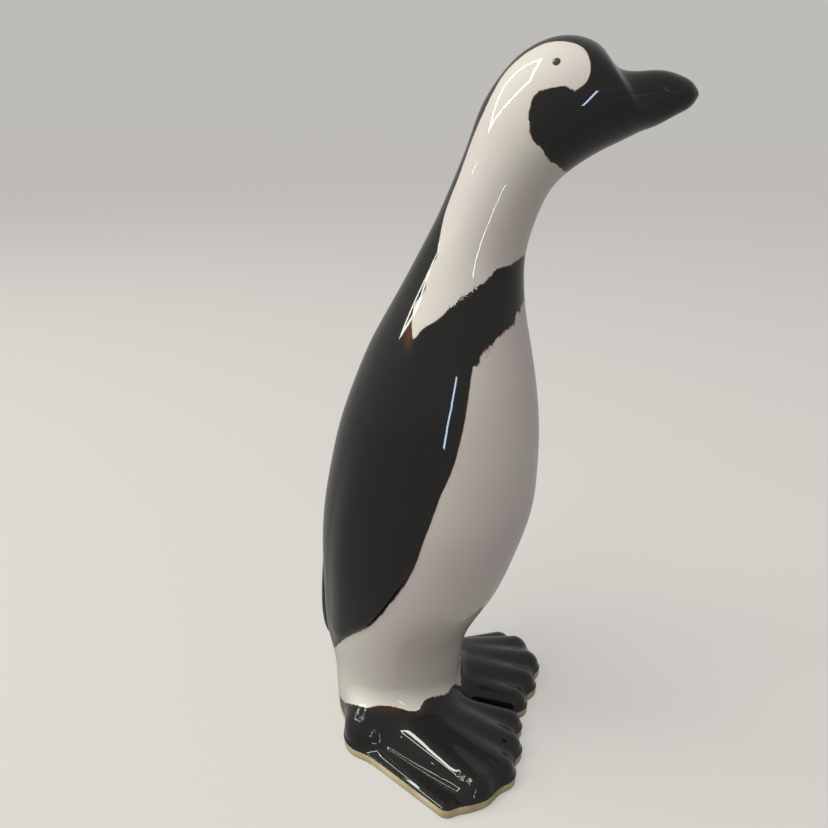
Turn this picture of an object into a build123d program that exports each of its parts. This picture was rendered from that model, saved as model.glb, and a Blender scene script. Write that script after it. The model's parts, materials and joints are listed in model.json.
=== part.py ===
from build123d import *
from math import asin, cos, sin
import os

# A glazed ceramic penguin: hollow castings and solid pressings, luted together before firing.
# Millimetres, +Z up. The bird stands on the floor plane and faces -Y, so its left side is +X.
# Every place is written as side, forward and up: out from the middle plane, toward the toes, and
# above the floor.

# Driving dimensions: the body
trunk_height = 262.0
trunk_depth = 126.0
trunk_width = 114.0
head_rise = 140.0
head_reach = 99.0
head_width = 52.0
bill_reach = 28.0
bill_depth = 25.0
bill_width = 26.0
wall = 5.0
slab_thickness = 3.5
vent_diameter = 12.0
vent_setback = 16.0
cut_overrun = 1.0

# Driving dimensions: what is luted on
wing_relief = 2.4
tail_relief = 3.0
eye_diameter = 5.2
eye_sink = 1.2
foot_reach = 86.0
foot_spread = 88.0
toe_root_radius = 18.0
toe_tip_radius = 10.0
toe_root_up = 10.0
toe_tip_up = 7.5
inner_toe_root_radius = 11.0
inner_toe_tip_radius = 9.5
web_tip_radius = 9.0
web_drop = 3.5
heel_radius = 17.0

# Trunk: rows from the slab to the neck joint, as height above the slab over the trunk's height,
# back and front over its depth, and half width over its width
trunk_row_shares = [
    (0.000, -0.306, 0.310, 0.342),
    (0.064, -0.312, 0.306, 0.344),
    (0.141, -0.319, 0.316, 0.358),
    (0.230, -0.351, 0.355, 0.400),
    (0.342, -0.360, 0.484, 0.458),
    (0.455, -0.359, 0.578, 0.490),
    (0.559, -0.341, 0.640, 0.500),
    (0.660, -0.302, 0.658, 0.491),
    (0.756, -0.253, 0.656, 0.469),
    (0.851, -0.183, 0.635, 0.434),
    (0.942, -0.102, 0.602, 0.377),
    (1.000, -0.037, 0.579, 0.333),
]

# Neck and head: rows that turn forward above the joint. Each has its back point and its front point,
# forward over the head's reach and up over its rise, and its half width over the head's width
head_row_shares = [
    (-0.295, 0.121, 0.373, 0.121, 0.615),
    (-0.224, 0.214, 0.372, 0.221, 0.548),
    (-0.113, 0.364, 0.412, 0.350, 0.500),
    (-0.022, 0.507, 0.473, 0.457, 0.481),
    (0.059, 0.650, 0.564, 0.536, 0.481),
    (0.139, 0.793, 0.725, 0.614, 0.500),
    (0.230, 0.886, 0.806, 0.643, 0.500),
    (0.351, 0.961, 0.877, 0.668, 0.495),
    (0.523, 1.000, 0.917, 0.682, 0.462),
    (0.715, 0.957, 0.958, 0.693, 0.390),
    (0.796, 0.893, 0.998, 0.704, 0.308),
]

# Bill: rows from its seam to its blunt tip, forward over its reach and up over its depth, both from
# the middle of the seam, and half width over its width
bill_row_shares = [
    (0.150, 0.475, 0.520, -0.430, 0.460),
    (0.480, 0.450, 0.714, -0.310, 0.404),
    (0.714, 0.360, 0.860, -0.215, 0.330),
    (0.875, 0.255, 0.950, -0.100, 0.215),
    (0.960, 0.140, 0.996, 0.005, 0.090),
]

# Wing and tail: how much of the relief is left at each trunk row
wing_relief_shares = [1.0, 1.0, 1.0, 1.0, 1.0, 0.95, 0.9, 0.8, 0.7, 0.6, 0.5, 0.5]
tail_relief_shares = [0.7, 0.8, 0.9, 1.0, 0.8, 0.6, 0.5, 0.5, 0.5, 0.5, 0.5, 0.5]

# Wing outline seen from the side, round from its shoulder: forward over the trunk's depth, up over
# the trunk's height
wing_outline_shares = [
    (0.180, 0.935),
    (0.330, 0.915),
    (0.400, 0.865),
    (0.392, 0.800),
    (0.349, 0.725),
    (0.278, 0.618),
    (0.198, 0.504),
    (0.095, 0.416),
    (0.008, 0.360),
    (-0.103, 0.303),
    (-0.212, 0.240),
    (-0.268, 0.222),
    (-0.292, 0.262),
    (-0.288, 0.330),
    (-0.275, 0.440),
    (-0.245, 0.573),
    (-0.185, 0.715),
    (-0.105, 0.835),
    (0.020, 0.910),
]

# Tail outline seen from behind: side over the trunk's width, up over the trunk's height
tail_side_shares = [
    (0.000, 0.176),
    (0.080, 0.200),
    (0.125, 0.240),
    (0.140, 0.305),
    (0.120, 0.382),
    (0.070, 0.450),
    (0.000, 0.478),
]

# Toes, webs and heel of one foot: root and tip centres, side over the spread and forward over the
# reach, from the inner toe outward
inner_toe_shares = [((0.131, 0.372), (0.125, 0.855))]
toe_shares = [
    ((0.273, 0.279), (0.364, 0.884)),
    ((0.364, 0.209), (0.608, 0.878)),
    ((0.409, 0.116), (0.790, 0.756)),
    ((0.443, -0.012), (0.898, 0.587)),
]
web_shares = [
    ((0.250, 0.326), (0.244, 0.820)),
    ((0.318, 0.244), (0.489, 0.849)),
    ((0.386, 0.163), (0.705, 0.791)),
    ((0.420, 0.058), (0.847, 0.663)),
]
heel_shares = [((0.386, 0.023), (0.472, -0.081))]

# Eye: forward over the head's reach and up over its rise, from the middle of the neck joint
eye_share = (0.517, 0.907)


def place(side, forward, up):
    """A point from its place to the bird's left, its place forward and its height."""
    return Vector(side, -forward, up)


def side_arc(back, front, half_width):
    """The left half of the ellipse that spans a back point and a front point of the middle plane."""
    span = front - back
    sheet = Plane(origin=(back + front) / 2, x_dir=(1, 0, 0), z_dir=Vector(1, 0, 0).cross(span))
    return sheet * EllipticalCenterArc((0, 0), half_width, span.length / 2, -90, arc_size=180)


def skin_of(rows, inset=0.0):
    """A smooth closed form through the rows, drawn in by the inset all round."""
    arcs = []
    for back, front, half_width in rows:
        step = (front - back).normalized() * inset
        arcs.append(side_arc(back + step, front - step, half_width - inset))
    left = Shell.make_loft([Wire([arc]) for arc in arcs]).faces()
    right = mirror(left[0], Plane.YZ).faces()
    ends = [Face(Wire(arc.edges() + mirror(arc, Plane.YZ).edges())) for arc in (arcs[0], arcs[-1])]
    return Solid(Shell(left + right + ends))


def middle_of(row):
    """The middle of a row's section."""
    return (row[0] + row[1]) / 2


def trunk_rows(side_relief=0.0, back_relief=0.0, relief_shares=None):
    """Back point, front point and half width of each trunk row, swollen by a relief where asked."""
    clear_height = trunk_height - slab_thickness
    rows = []
    for number, (up, back, front, half_width) in enumerate(trunk_row_shares):
        swell = relief_shares[number] if relief_shares else 0.0
        height = slab_thickness + up * clear_height
        back_point = place(0, back * trunk_depth - swell * back_relief, height)
        front_point = place(0, front * trunk_depth, height)
        rows.append((back_point, front_point, half_width * trunk_width + swell * side_relief))
    return rows


def rows_from(start, reach, rise, width, shares):
    """Rows set out from a starting point by a table of shares."""
    rows = []
    for back, back_up, front, front_up, half_width in shares:
        back_point = start + place(0, back * reach, back_up * rise)
        front_point = start + place(0, front * reach, front_up * rise)
        rows.append((back_point, front_point, half_width * width))
    return rows


lower_rows = trunk_rows()
neck_joint = middle_of(lower_rows[-1])
upper_rows = rows_from(neck_joint, head_reach, head_rise, head_width, head_row_shares)
bill_seam = middle_of(upper_rows[-1])
bill_rows = rows_from(bill_seam, bill_reach, bill_depth, bill_width, bill_row_shares)

body_skin = skin_of(lower_rows + upper_rows + bill_rows)
body_core = skin_of(lower_rows + upper_rows[:-1], wall)
joint_plane = Plane(origin=(0, 0, trunk_height))
seam_span = upper_rows[-1][1] - upper_rows[-1][0]
seam_plane = Plane(origin=bill_seam, x_dir=(1, 0, 0), z_dir=seam_span.cross(Vector(1, 0, 0)))


def trunk():
    """The hollow casting from the slab to the neck joint, open below until the slab closes it."""
    return split(body_skin, joint_plane, Keep.BOTTOM) - split(body_core, joint_plane, Keep.BOTTOM)


def left_eye():
    """A small round bead pressed into its socket, where the eye's level line meets the skin."""
    forward, up = eye_share
    level = neck_joint + place(0, forward * head_reach, up * head_rise)
    sight = Axis(level + place(head_width, 0, 0), (-1, 0, 0))
    point, normal = body_skin.find_intersection_points(sight)[0]
    return Pos(*(point - normal.normalized() * eye_sink)) * Sphere(eye_diameter / 2)


def neck_and_head(eyes):
    """The hollow casting from the neck joint to the bill's seam, with a socket for each eye."""
    solid = split(split(body_skin, joint_plane, Keep.TOP), seam_plane, Keep.BOTTOM)
    casting = solid - split(body_core, joint_plane, Keep.TOP)
    for eye in eyes:
        casting = casting - eye
    return casting


def bill():
    """The solid bill, blunt at its tip."""
    return split(body_skin, seam_plane, Keep.TOP)


def left_wing():
    """A thin pressed wing that stands proud of the trunk along its lower edge."""
    envelope = skin_of(trunk_rows(wing_relief, 0.0, wing_relief_shares) + upper_rows)
    points = [place(0, f * trunk_depth, u * trunk_height) for f, u in wing_outline_shares]
    outline = make_face(Spline(*points, periodic=True))
    return (envelope & extrude(outline, trunk_width, dir=(1, 0, 0))) - body_skin


def tail():
    """The short tail, a pressed tongue on the middle of the back."""
    envelope = skin_of(trunk_rows(0.0, tail_relief, tail_relief_shares) + upper_rows)
    left = [place(s * trunk_width, 0, u * trunk_height) for s, u in tail_side_shares]
    right = [place(-s * trunk_width, 0, u * trunk_height) for s, u in tail_side_shares]
    outline = make_face([Spline(*left), Spline(*right)])
    return (envelope & extrude(outline, trunk_depth, dir=(0, 1, 0))) - body_skin


def lobe(root, tip, root_radius, tip_radius):
    """A tapering finger with round ends, from its root centre to its tip centre."""
    run = tip - root
    tilt = asin((root_radius - tip_radius) / run.length)
    root_edge = (root_radius * cos(tilt), root_radius * sin(tilt))
    tip_edge = (tip_radius * cos(tilt), run.length + tip_radius * sin(tilt))
    root_cap = RadiusArc((0, -root_radius), root_edge, -root_radius)
    tip_cap = RadiusArc(tip_edge, (0, run.length + tip_radius), -tip_radius)
    side = Line(root_edge, tip_edge)
    middle = Line((0, run.length + tip_radius), (0, -root_radius))
    half = Plane.XZ * make_face([root_cap, side, tip_cap, middle])
    return Plane(origin=root, z_dir=run) * revolve(half, Axis.Z)


def foot_lobes():
    """Every toe, every web and the heel of the left foot."""
    groups = [
        (inner_toe_shares, inner_toe_root_radius, inner_toe_tip_radius, toe_tip_up, 0.0),
        (toe_shares, toe_root_radius, toe_tip_radius, toe_tip_up, 0.0),
        (web_shares, toe_root_radius, web_tip_radius, toe_tip_up, web_drop),
        (heel_shares, toe_root_radius, heel_radius, toe_root_up, 0.0),
    ]
    lobes = []
    for shares, root_radius, tip_radius, tip_up, drop in groups:
        for (root_side, root_forward), (tip_side, tip_forward) in shares:
            root = place(root_side * foot_spread, root_forward * foot_reach, toe_root_up - drop)
            tip = place(tip_side * foot_spread, tip_forward * foot_reach, tip_up - drop)
            lobes.append(lobe(root, tip, root_radius, tip_radius))
    return lobes


def left_foot():
    """One foot, flat on the slab and hollowed round the trunk that it is luted to."""
    lobes = foot_lobes()
    body = lobes[0]
    for other in lobes[1:]:
        body = body + other
    return split(body, Plane(origin=(0, 0, slab_thickness)), Keep.TOP) - body_skin


def sole_faces(piece):
    """The flat faces of a piece that lie on the slab."""
    return piece.faces().filter_by(Plane.XY).group_by(Axis.Z)[0]


def base_slab(feet):
    """The bare clay slab that closes the trunk and follows the feet, with its firing vent."""
    footprint = sole_faces(body_skin) + sole_faces(feet[0]) + sole_faces(feet[1])
    blocks = [extrude(face, slab_thickness, dir=(0, 0, -1)) for face in footprint]
    plate = blocks[0]
    for block in blocks[1:]:
        plate = plate + block
    vent = Cylinder(vent_diameter / 2, slab_thickness + 2 * cut_overrun)
    return plate - Pos(*place(0, -vent_setback, slab_thickness / 2)) * vent


def twins(left):
    """A left piece and its mirror image on the right."""
    return left, mirror(left, Plane.YZ)


eyes = twins(left_eye())
wings = twins(left_wing())
feet = twins(left_foot())
nodes = {
    "trunk": trunk(),
    "neck_and_head": neck_and_head(eyes),
    "bill": bill(),
    "left_wing": wings[0],
    "right_wing": wings[1],
    "tail": tail(),
    "left_eye": eyes[0],
    "right_eye": eyes[1],
    "left_foot": feet[0],
    "right_foot": feet[1],
    "base_slab": base_slab(feet),
}

os.makedirs("parts", exist_ok=True)
for name, shape in nodes.items():
    export_step(shape, f"parts/{name}.step")
    print(name, round(shape.volume), "mm3")
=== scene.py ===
# %% [markdown]
# # A brush-painted, glazed penguin
# The figurine is slip-cast earthenware: a hollow body, pressed wings and feet luted on, black and
# white colour brushed on by hand, and one clear glaze over everything but the sole.
# We rebuild it in that order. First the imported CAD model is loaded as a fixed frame, because it
# gives every size and place. Everything below is in its frame: the bird faces -Y, and its left is +X.

# %% Load the frame
import json
import math

import bmesh
import bpy
import numpy as np
from mathutils import Matrix, Quaternion, Vector
from mathutils.bvhtree import BVHTree
from mathutils.kdtree import KDTree

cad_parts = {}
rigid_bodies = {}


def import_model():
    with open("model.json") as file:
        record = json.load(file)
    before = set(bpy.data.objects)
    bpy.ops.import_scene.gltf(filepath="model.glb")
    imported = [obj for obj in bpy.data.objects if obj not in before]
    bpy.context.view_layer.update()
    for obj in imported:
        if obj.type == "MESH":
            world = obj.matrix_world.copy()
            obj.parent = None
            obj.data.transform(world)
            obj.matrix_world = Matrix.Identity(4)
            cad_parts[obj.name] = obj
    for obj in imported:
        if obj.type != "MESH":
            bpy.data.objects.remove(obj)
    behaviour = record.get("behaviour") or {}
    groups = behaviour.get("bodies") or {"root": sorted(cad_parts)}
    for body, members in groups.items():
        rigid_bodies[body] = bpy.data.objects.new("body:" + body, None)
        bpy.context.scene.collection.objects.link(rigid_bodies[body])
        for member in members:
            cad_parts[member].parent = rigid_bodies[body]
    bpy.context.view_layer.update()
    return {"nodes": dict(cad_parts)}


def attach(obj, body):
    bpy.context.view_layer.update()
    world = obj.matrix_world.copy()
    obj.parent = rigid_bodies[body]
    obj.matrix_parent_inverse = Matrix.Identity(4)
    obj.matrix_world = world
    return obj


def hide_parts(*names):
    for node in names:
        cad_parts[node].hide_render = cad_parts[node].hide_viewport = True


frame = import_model()
mm = 0.001
print("nodes in the frame:", sorted(frame["nodes"]))

# %% [markdown]
# ## Small helpers
# Colours are written as the sRGB hex values that a paint chart would give, and one function turns
# them to the linear values that Blender's shaders want. One more function adds a node to any tree,
# with its settings and links, so that the trees below read like lists. The kinds of node that come
# up again and again have a short form each.

# %% Colours and nodes
def colour(hex_code):
    """Linear colour from an sRGB hex code."""
    shades = [int(hex_code[i:i + 2], 16) / 255 for i in (1, 3, 5)]
    linear = [s / 12.92 if s <= 0.04045 else ((s + 0.055) / 1.055) ** 2.4 for s in shades]
    return (*linear, 1.0)


def add(tree, kind, inputs=None, **settings):
    """One node with its settings; an input is a value, another node, or a node's socket."""
    node = tree.nodes.new(kind)
    for name, value in settings.items():
        setattr(node, name, value)
    for key, value in (inputs or {}).items():
        if isinstance(key, str):
            key = next(i for i, socket in enumerate(node.inputs) if socket.enabled and socket.name == key)
        if isinstance(value, bpy.types.Node):
            value = next(socket for socket in value.outputs if socket.enabled)
        if isinstance(value, bpy.types.NodeSocket):
            tree.links.new(value, node.inputs[key])
        else:
            node.inputs[key].default_value = value
    return node


def calc(tree, operation, *values, **settings):
    """Arithmetic on one, two or three numbers."""
    return add(tree, "ShaderNodeMath", dict(enumerate(values)), operation=operation, **settings)


def noise(tree, where, width, detail):
    """Noise whose marks are about as wide as given."""
    return add(tree, "ShaderNodeTexNoise", {"Vector": where, "Scale": 1 / width, "Detail": detail})


def ranged(tree, value, low, high, first=0.0, last=1.0, **settings):
    """A value's run from low to high, carried to a run from first to last and held there."""
    limits = {"Value": value, "From Min": low, "From Max": high, "To Min": first, "To Max": last}
    return add(tree, "ShaderNodeMapRange", limits, **settings)


def mixed(tree, share, first, second):
    """A colour between two, by the share of the second."""
    return add(tree, "ShaderNodeMix", {"Factor": share, "A": first, "B": second}, data_type="RGBA")


def bump(tree, height, strength, depth, below=None):
    """Relief in the shading, on top of the relief below it."""
    inputs = {"Height": height, "Strength": strength, "Distance": depth}
    if below:
        inputs["Normal"] = below
    return add(tree, "ShaderNodeBump", inputs)


def new_material(name):
    """A material with an empty node tree, and the tree."""
    material = bpy.data.materials.new(name)
    material.use_nodes = True
    material.node_tree.nodes.clear()
    return material, material.node_tree


def place(side, forward, up):
    """A Blender point from millimetres to the bird's left, forward and up."""
    return Vector((side, -forward, up)) * mm


print("a white of #DEDAD2 in linear values:", [round(v, 3) for v in colour("#DEDAD2")[:3]])

# %% [markdown]
# ## Where black meets white
# Underglaze colour is brushed on the dry clay by hand. Each mesh below carries the distance to the
# nearest painted edge in millimetres as an attribute, "ink", which is positive in the black. Two
# more attributes say how far the brush strayed there: "ragged" for marks as wide as the brush tip,
# 4 to 5 mm, and "stipple" for the dots of a nearly dry brush, about 1 mm. The shader adds noise of
# those widths to the distance, and a soft step makes it a mask, softer where the brush ran thin.

# %% The brushed edge
glazed_clay, clay_tree = new_material("painted_glazed_earthenware")
brush_width, dot_width = 4.5 * mm, 1.1 * mm
where = add(clay_tree, "ShaderNodeTexCoord").outputs["Object"]
ink, ragged, stipple, thin = [
    add(clay_tree, "ShaderNodeAttribute", attribute_name=name).outputs["Fac"]
    for name in ("ink", "ragged", "stipple", "thin")
]

# Noise lies between about 0.25 and 0.75, so 5 times its distance from a half fills -1 to 1
brush_mark, dot_mark = [
    calc(clay_tree, "MULTIPLY_ADD", noise(clay_tree, where, width, detail), 5.0, -2.5)
    for width, detail in ((brush_width, 2.0), (dot_width, 1.0))
]
edge = calc(clay_tree, "MULTIPLY_ADD", ragged, brush_mark, ink)
edge = calc(clay_tree, "MULTIPLY_ADD", stipple, dot_mark, edge)
softness = calc(clay_tree, "MULTIPLY_ADD", ragged, 0.35, 0.14)
hardness = calc(clay_tree, "MULTIPLY", softness, -1.0)
black_share = ranged(clay_tree, edge, hardness, softness, interpolation_type="SMOOTHSTEP")
print("widths of brush marks and dry dots in mm:", round(brush_width / mm, 1), round(dot_width / mm, 1))

# %% [markdown]
# ## Black that fires brown where it is thin
# Iron and manganese make the black. Where the brush left little of it, along the edges, most where
# it ran dry, and where the "thin" attribute says so, it fires to a rusty brown.

# %% Black and brown
fringe_start, fringe_end = 0.1, 1.3
inner_edge = ranged(clay_tree, edge, fringe_start, fringe_end, 1.0, 0.0, interpolation_type="SMOOTHSTEP")
patches = ranged(clay_tree, noise(clay_tree, where, 7.0 * mm, 2.0), 0.4, 0.62)
fringe = calc(clay_tree, "MULTIPLY_ADD", patches, 0.75, 0.1)
fringe = calc(clay_tree, "MULTIPLY", fringe, inner_edge)
dryness = ranged(clay_tree, ragged, 0.0, 1.0, 0.3, 1.0)
fringe = calc(clay_tree, "MULTIPLY", fringe, dryness)
worn = calc(clay_tree, "MULTIPLY_ADD", patches, 0.35, 0.65)
worn = calc(clay_tree, "MULTIPLY", worn, thin)
brown_share = calc(clay_tree, "MAXIMUM", fringe, worn, use_clamp=True)
strokes = noise(clay_tree, where, 30.0 * mm, 2.0)
black = mixed(clay_tree, strokes, colour("#0C0C0D"), colour("#141312"))
black = mixed(clay_tree, brown_share, black, colour("#653A1D"))
print("the fringe of brown is", round(fringe_end - fringe_start, 1), "mm wide")

# %% [markdown]
# ## Warm white
# The white is the clay's own colour under the glaze: warm, a little pinker in wide patches, with a
# rare iron speck half a millimetre across.

# %% White with a few specks
clouds = ranged(clay_tree, noise(clay_tree, where, 70.0 * mm, 1.0), 0.35, 0.65)
white = mixed(clay_tree, clouds, colour("#DEDAD2"), colour("#D9CFCE"))
# A speck's solid core and faded rim are radii in shares of the specks' spacing
speck_spacing, speck_core, speck_rim = 9.0 * mm, 0.02, 0.035
cells = add(clay_tree, "ShaderNodeTexVoronoi", {"Vector": where, "Scale": 1 / speck_spacing}).outputs
dot = ranged(clay_tree, cells["Distance"], speck_core, speck_rim, 1.0, 0.0)
chance = add(clay_tree, "ShaderNodeSeparateColor", {0: cells["Color"]})
chosen = calc(clay_tree, "GREATER_THAN", chance, 0.88)
speck = calc(clay_tree, "MULTIPLY", dot, chosen)
white = mixed(clay_tree, speck, white, colour("#8C7763"))
print("specks are about", round(speck_spacing * (speck_core + speck_rim) / mm, 1), "mm wide")

# %% [markdown]
# ## One clear glaze over all
# The glaze is a coat of glass with an IOR near 1.5: smooth and hard, so highlights are sharp. The
# clay and colour below it are matt, so the base layer is rough and has little gloss of its own.
# While it melts, it carries a little of the brown out into the white, and it pools in long shallow
# waves, which bend the reflections by a fraction of a degree. It stands a little higher over the
# black, and shows the finger marks that the attribute "pressed" gives to some spots of the feet.

# %% Glaze
clear_coat = {
    "Roughness": 0.5, "Specular IOR Level": 0.1,
    "Coat Weight": 1.0, "Coat Roughness": 0.025, "Coat IOR": 1.52,
}
outer_edge = ranged(clay_tree, edge, -1.5, 0.1)
bleed = calc(clay_tree, "MULTIPLY", outer_edge, patches)
bleed = calc(clay_tree, "MULTIPLY", bleed, dryness)
bleed = calc(clay_tree, "MULTIPLY", bleed, 0.4)
stained = mixed(clay_tree, bleed, white, colour("#9C7455"))
painted = mixed(clay_tree, black_share, stained, black)
pressed = add(clay_tree, "ShaderNodeAttribute", attribute_name="pressed").outputs["Fac"]
finger_marks = calc(clay_tree, "MULTIPLY", noise(clay_tree, where, 3.2 * mm, 2.0), pressed)
waves = bump(clay_tree, noise(clay_tree, where, 24.0 * mm, 1.0), 1.0, 0.07 * mm)
relief = bump(clay_tree, black_share, 0.5, 0.04 * mm, below=waves)
relief = bump(clay_tree, finger_marks, 1.0, 0.5 * mm, below=relief)
surface = {"Base Color": painted, "Normal": relief, "Coat Normal": relief}
glaze = add(clay_tree, "ShaderNodeBsdfPrincipled", surface | clear_coat)
add(clay_tree, "ShaderNodeOutputMaterial", {"Surface": glaze})
print(glazed_clay.name, "has", len(clay_tree.nodes), "nodes")

# %% [markdown]
# ## The eye's touch of grey
# The eyes are too small for a brush mark. They are one even dark grey, lighter than the black,
# under the same clear glaze.

# %% Eye finish
eye_grey, eye_tree = new_material("glazed_grey_eye")
bead_glaze = add(eye_tree, "ShaderNodeBsdfPrincipled", {"Base Color": colour("#4B4A44")} | clear_coat)
add(eye_tree, "ShaderNodeOutputMaterial", {"Surface": bead_glaze})
print(eye_grey.name, "is one plain colour under the glaze")

# %% [markdown]
# ## The bare sole
# The base slab stands on the kiln shelf, so it is left unglazed: matt, cream, fine-grained fired
# earthenware with a little grog in it. It has no coat, a high roughness and a grain half a
# millimetre wide.

# %% Bare fired clay
bare_clay, bare_tree = new_material("bare_fired_earthenware")
bare_where = add(bare_tree, "ShaderNodeTexCoord").outputs["Object"]
cream_share = ranged(bare_tree, noise(bare_tree, bare_where, 14.0 * mm, 4.0), 0.35, 0.65)
cream = mixed(bare_tree, cream_share, colour("#B9A983"), colour("#D2C8AA"))
grain = bump(bare_tree, noise(bare_tree, bare_where, 0.5 * mm, 2.0), 0.6, 0.12 * mm)
matt = add(bare_tree, "ShaderNodeBsdfPrincipled", {
    "Base Color": cream, "Roughness": 0.78, "Specular IOR Level": 0.3, "Normal": grain,
})
add(bare_tree, "ShaderNodeOutputMaterial", {"Surface": matt})
print(bare_clay.name, "has", len(bare_tree.nodes), "nodes")

# %% [markdown]
# ## The body's shape as a rule
# The cast body is a stack of ellipses: each has a back point and a front point on the middle plane
# and a half width. A smooth curve through the rows gives every size in between. The same rows made
# the CAD solids, so the mesh lies on them. We write the rows in shares of a few driving sizes, and
# join them with a natural cubic spline, because its curvature has no steps that a glossy surface
# would show.

# %% Rows of the body
slab_top, glaze_line = 3.5, 5.3
trunk_height, trunk_depth, trunk_width = 262.0, 126.0, 114.0
head_rise, head_reach, head_width = 140.0, 99.0, 52.0
bill_reach, bill_depth, bill_width = 28.0, 25.0, 26.0

# Height, back, front and half width
trunk_shares = [
    (0.000, -0.306, 0.310, 0.342), (0.064, -0.312, 0.306, 0.344), (0.141, -0.319, 0.316, 0.358),
    (0.230, -0.351, 0.355, 0.400), (0.342, -0.360, 0.484, 0.458), (0.455, -0.359, 0.578, 0.490),
    (0.559, -0.341, 0.640, 0.500), (0.660, -0.302, 0.658, 0.491), (0.756, -0.253, 0.656, 0.469),
    (0.851, -0.183, 0.635, 0.434), (0.942, -0.102, 0.602, 0.377), (1.000, -0.037, 0.579, 0.333),
]
# Back, its height, front, its height, and half width, from the middle of the row before
head_shares = [
    (-0.295, 0.121, 0.373, 0.121, 0.615), (-0.224, 0.214, 0.372, 0.221, 0.548),
    (-0.113, 0.364, 0.412, 0.350, 0.500), (-0.022, 0.507, 0.473, 0.457, 0.481),
    (0.059, 0.650, 0.564, 0.536, 0.481), (0.139, 0.793, 0.725, 0.614, 0.500),
    (0.230, 0.886, 0.806, 0.643, 0.500), (0.351, 0.961, 0.877, 0.668, 0.495),
    (0.523, 1.000, 0.917, 0.682, 0.462), (0.715, 0.957, 0.958, 0.693, 0.390),
    (0.796, 0.893, 0.998, 0.704, 0.308),
]
bill_shares = [
    (0.150, 0.475, 0.520, -0.430, 0.460), (0.480, 0.450, 0.714, -0.310, 0.404),
    (0.714, 0.360, 0.860, -0.215, 0.330), (0.875, 0.255, 0.950, -0.100, 0.215),
    (0.960, 0.140, 0.996, 0.005, 0.090),
]


def body_rows():
    """Each row as back forward, back up, front forward, front up and half width, in millimetres."""
    rows = []
    for up, back, front, width in trunk_shares:
        height = slab_top + up * (trunk_height - slab_top)
        rows.append((back * trunk_depth, height, front * trunk_depth, height, width * trunk_width))
    scales = (
        (head_shares, head_reach, head_rise, head_width), (bill_shares, bill_reach, bill_depth, bill_width),
    )
    for shares, reach, rise, width in scales:
        start_forward = (rows[-1][0] + rows[-1][2]) / 2
        start_up = (rows[-1][1] + rows[-1][3]) / 2
        for back, back_up, front, front_up, half in shares:
            rows.append((
                start_forward + back * reach, start_up + back_up * rise,
                start_forward + front * reach, start_up + front_up * rise, half * width,
            ))
    return np.array(rows)


def distances_along(points):
    """How far along a line of points each one lies."""
    steps = np.linalg.norm(np.diff(points, axis=0), axis=1)
    return np.concatenate([[0.0], np.cumsum(steps)])


def natural_spline(knots, values, places):
    """The smoothest curve through values at the knots, read off at the places."""
    gaps = np.diff(knots)
    slopes = np.diff(values, axis=0) / gaps[:, None]
    system = np.eye(len(knots))
    bends = np.zeros_like(values)
    for i in range(1, len(knots) - 1):
        system[i, i - 1:i + 2] = gaps[i - 1], 2 * (gaps[i - 1] + gaps[i]), gaps[i]
        bends[i] = 6 * (slopes[i] - slopes[i - 1])
    bends = np.linalg.solve(system, bends)
    k = np.clip(np.searchsorted(knots, places) - 1, 0, len(gaps) - 1)
    gap = gaps[k]
    before = ((knots[k + 1] - places) / gap)[:, None]
    after = 1 - before
    gap = gap[:, None]
    curve = (before ** 3 - before) * bends[k] + (after ** 3 - after) * bends[k + 1]
    return before * values[k] + after * values[k + 1] + curve * gap ** 2 / 6


rows = body_rows()
row_places = (distances_along(rows[:, 0:2]) + distances_along(rows[:, 2:4])) / 2
joint_place = row_places[len(trunk_shares) - 1]
seam_place = row_places[len(trunk_shares) + len(head_shares) - 1]
print("the body is", round(row_places[-1]), "mm long along its bend;", len(rows), "rows")

# %% [markdown]
# ## A loft in Geometry Nodes
# A shape that follows a rule is a good fit for Geometry Nodes. The tree takes a line of points, one
# for each row, that carry the ellipse's half span and half width. It makes a grid, finds the row and
# the column of each grid point from its index, and moves the point onto its ellipse. The seam and
# the two poles close when points that coincide are merged.

# %% The loft tree
def new_tree(name, sockets):
    """An empty geometry tree with named inputs."""
    tree = bpy.data.node_groups.new(name, "GeometryNodeTree")
    tree.interface.new_socket("Geometry", in_out="INPUT", socket_type="NodeSocketGeometry")
    for label, kind, value in sockets:
        socket = tree.interface.new_socket(label, in_out="INPUT", socket_type=kind)
        if value is not None:
            socket.default_value = value
    tree.interface.new_socket("Geometry", in_out="OUTPUT", socket_type="NodeSocketGeometry")
    return tree, add(tree, "NodeGroupInput").outputs, add(tree, "NodeGroupOutput")


def clad(tree, geometry, clay, result):
    """Ends a tree: its geometry as plain mesh, with its material."""
    whole = add(tree, "GeometryNodeRealizeInstances", {0: geometry})
    coated = add(tree, "GeometryNodeSetMaterial", {"Geometry": whole, "Material": clay})
    tree.links.new(coated.outputs[0], result.inputs[0])
    return tree


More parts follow.
